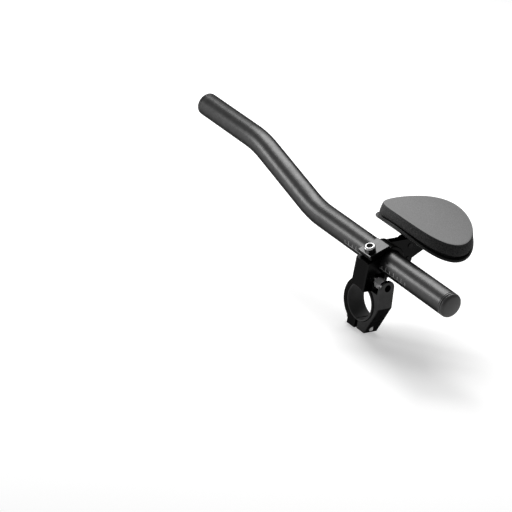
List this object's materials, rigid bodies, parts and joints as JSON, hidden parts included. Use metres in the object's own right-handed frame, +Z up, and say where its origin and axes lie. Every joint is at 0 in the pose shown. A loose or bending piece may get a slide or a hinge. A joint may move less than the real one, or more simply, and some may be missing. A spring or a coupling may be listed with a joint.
{
  "type": "aero handlebar extension",
  "caption": "Clip-on aero handlebar extension: S-bend tube held in a pinch clamp on a handlebar bracket, with a foam-padded forearm cup on a side arm.",
  "frame": {"origin": "middle of the handlebar clamp's bore, on the handlebar's axis", "axes": "+X along the handlebar, outboard on the rider's right; +Y forward along the extension tube; +Z up"},
  "size_m": [0.102, 0.3763, 0.1098],
  "materials": {
    "black_anodised": "satin black anodised",
    "black_casting": "matte black powder coat on cast aluminium",
    "bright_steel": "bright zinc-plated steel",
    "black_steel": "black oxide steel",
    "black_plastic": "moulded black plastic",
    "cup_plastic": "moulded black plastic, fine grain",
    "black_rubber": "matte rubber",
    "grey_foam": "closed-cell foam, speckled grey skin, dark cut sides",
    "hook_and_loop": "black hook-and-loop fastener"
  },
  "bodies": {
    "clamp_unit": {"clamp_bracket": "black_casting", "bar_clamp_cap": "black_casting", "front_bar_liner": "black_rubber", "rear_bar_liner": "black_rubber", "upper_bar_bolt": "bright_steel", "upper_bar_nut": "bright_steel", "lower_bar_bolt": "bright_steel", "lower_bar_washer": "black_steel", "pinch_bolt": "bright_steel", "armrest_arm": "black_casting", "arm_screws": "black_steel", "arm_washers": "black_steel", "armrest_cup": "cup_plastic", "cup_screws": "black_steel", "cup_nuts": "black_steel", "hook_sheet": "hook_and_loop", "loop_sheet": "hook_and_loop", "foam_pad": "grey_foam"},
    "extension": {"extension_tube": "black_anodised", "rear_end_plug": "black_plastic", "front_end_plug": "black_plastic"}
  },
  "joints": [
    {"name": "extension_slide", "type": "slide", "parent": "clamp_unit", "child": "extension", "axis": [0, 1, 0], "range_m": [-0.06, 0.045]}
  ]
}
